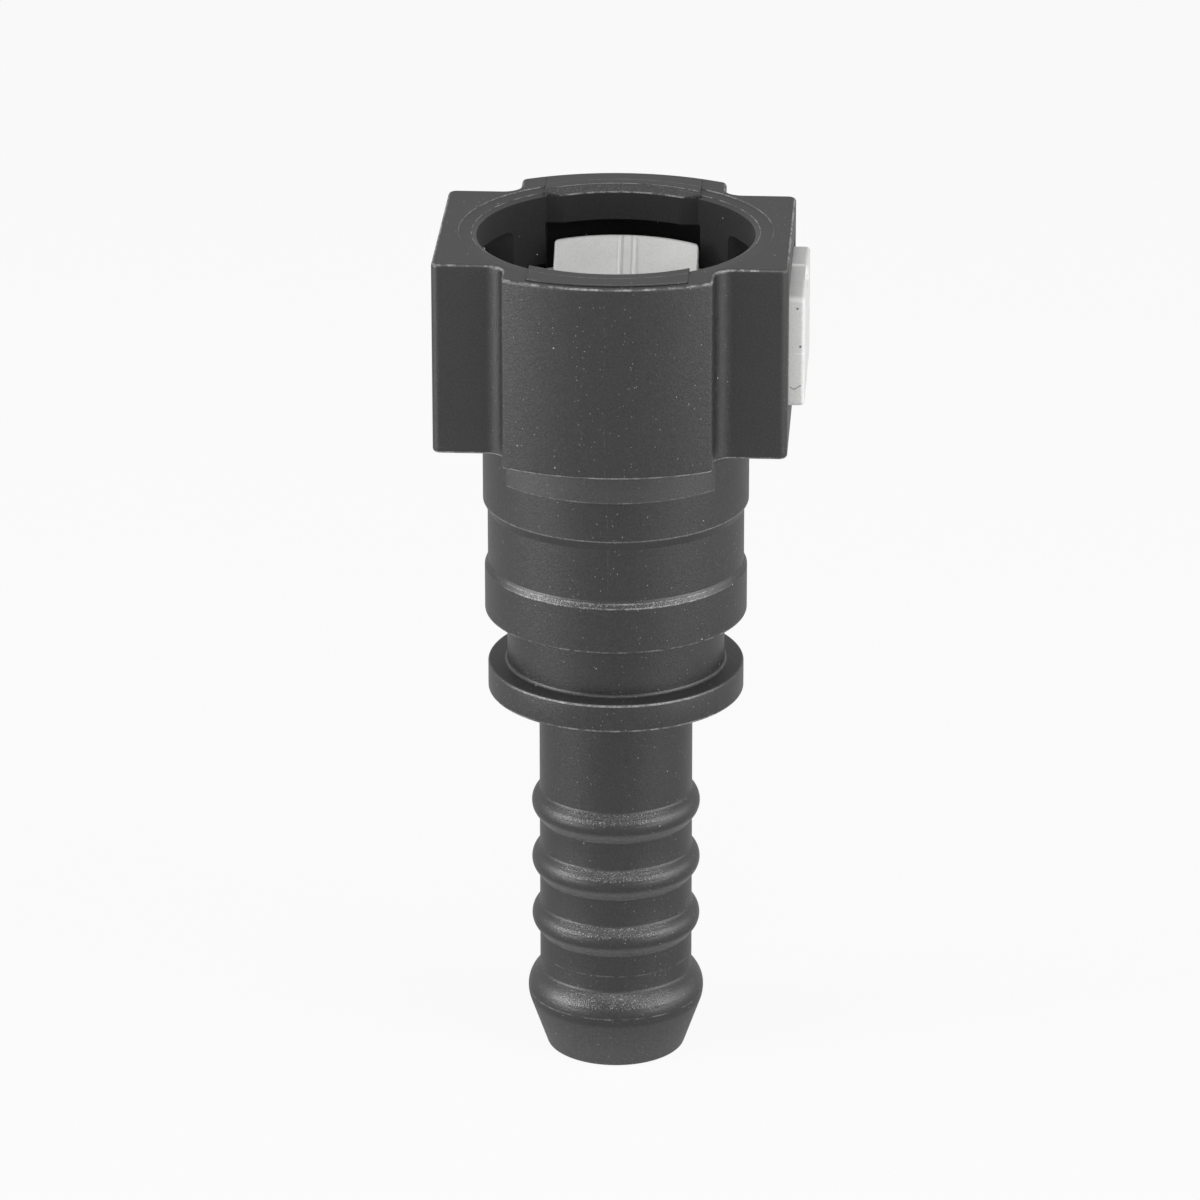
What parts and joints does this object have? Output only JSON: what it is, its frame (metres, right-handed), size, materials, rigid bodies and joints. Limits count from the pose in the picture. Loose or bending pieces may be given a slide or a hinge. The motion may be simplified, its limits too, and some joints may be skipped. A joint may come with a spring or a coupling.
{
  "type": "fuel line quick connector",
  "caption": "Straight push-button quick connector joining a 9.49 mm fuel pipe to a plastic fuel line on its ribbed stem.",
  "frame": {"origin": "on the bore's axis, in the plane of the hose stem's tip", "axes": "+Z along the bore from the hose stem to the pipe's mouth, +X towards the release button"},
  "size_m": [0.0207, 0.0208, 0.0498],
  "materials": {
    "body_black": "satin black moulded polyamide",
    "retainer_white": "satin white moulded acetal",
    "bushing_natural": "satin natural polyamide",
    "seal_rubber": "oiled black fluoro rubber",
    "spacer_natural": "satin natural polyamide"
  },
  "bodies": {
    "fitting": {"connector_body": "body_black", "guide_bushing": "bushing_natural", "outer_o_ring": "seal_rubber", "spacer_ring": "spacer_natural", "inner_o_ring": "seal_rubber"},
    "retainer": {"push_button_retainer": "retainer_white"}
  },
  "joints": [
    {"name": "button_press", "type": "slide", "parent": "fitting", "child": "retainer", "axis": [-1, 0, 0], "range_m": [0, 0.00085], "stiffness_N_per_m": 6000}
  ]
}
